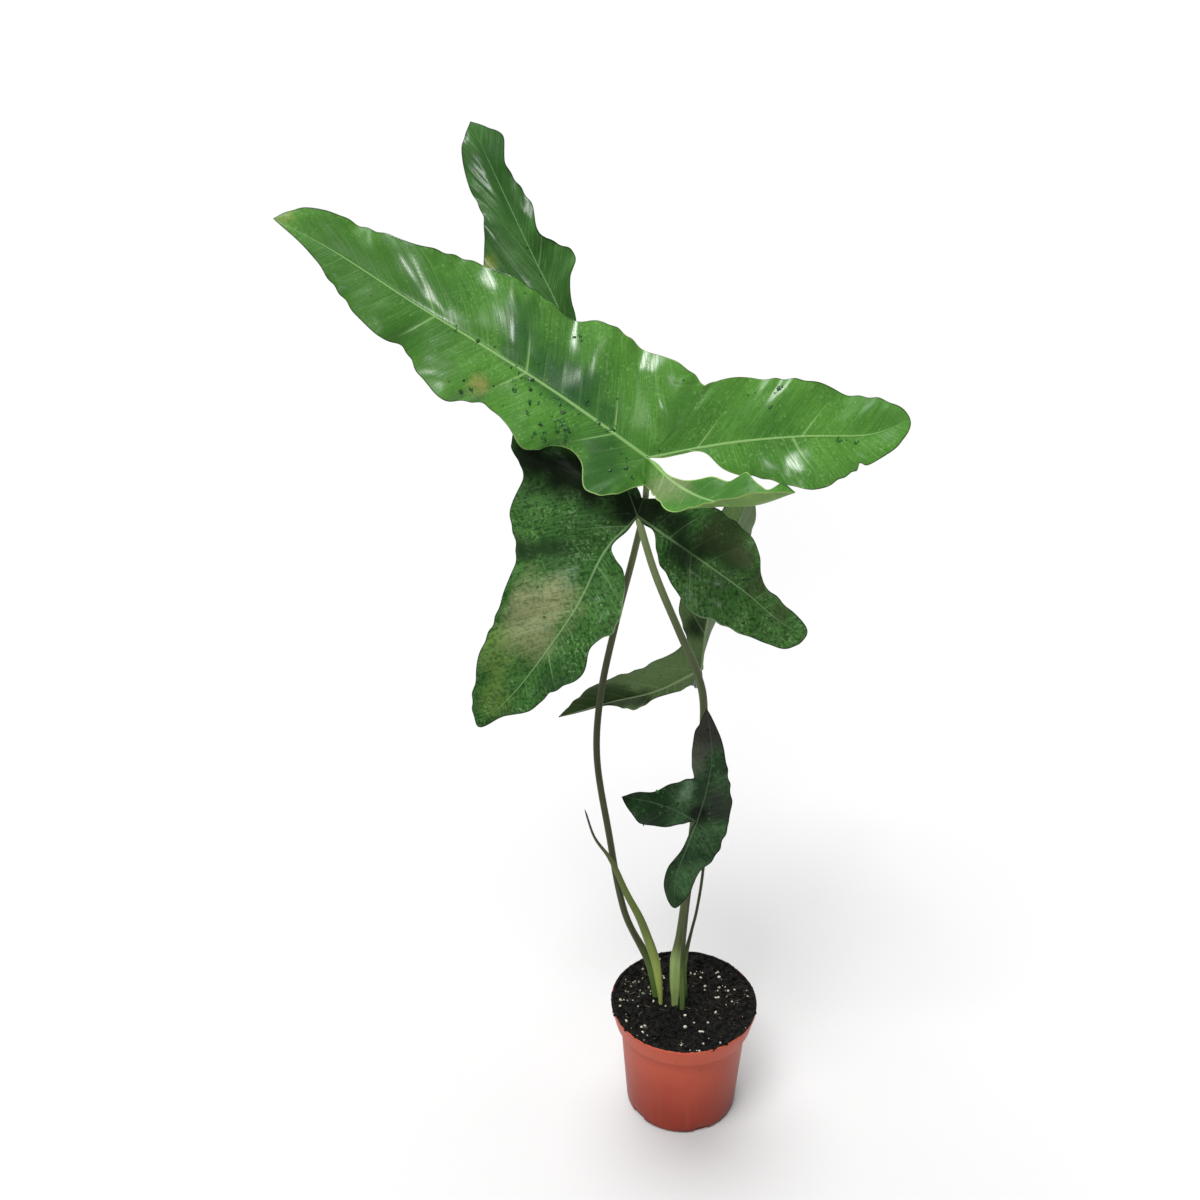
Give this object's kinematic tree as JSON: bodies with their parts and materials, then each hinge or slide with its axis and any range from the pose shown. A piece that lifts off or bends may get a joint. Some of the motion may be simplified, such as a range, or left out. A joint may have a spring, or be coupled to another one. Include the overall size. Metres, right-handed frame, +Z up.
{
  "type": "potted thaumatophyllum stenolobum",
  "caption": "Upright aroid with long three-lobed waved leaves on slim petioles, standing in soil in a tapered nursery pot.",
  "frame": {"origin": "centre of the pot's flat base", "axes": "+Z up along the pot's axis, -Y towards the side seen in front, the longest leaf pointing to -X"},
  "size_m": [0.422, 0.2772, 0.7792],
  "materials": {
    "pot": "satin terracotta-coloured plastic",
    "soil": "moist dark peat with white perlite",
    "petiole": "smooth olive petiole",
    "petiole_dark": "smooth dark olive petiole",
    "leaf_bright": "glossy mid-green leaf with pale ribs",
    "leaf_deep": "glossy deep-green leaf with pale ribs",
    "leaf_grey": "grey-green leaf, matte underneath",
    "leaf_dark": "glossy blackish-green leaf",
    "sheath": "pale yellow-green sheath with a dry brown tip"
  },
  "bodies": {
    "root": {"pot": "pot", "soil": "soil", "petiole_large": "petiole", "leaf_large": "leaf_bright", "petiole_upright": "petiole", "leaf_upright": "leaf_deep", "petiole_rear": "petiole_dark", "leaf_rear": "leaf_grey", "petiole_low": "petiole", "leaf_low": "leaf_dark", "old_leaf_sheath": "sheath"}
  },
  "joints": []
}
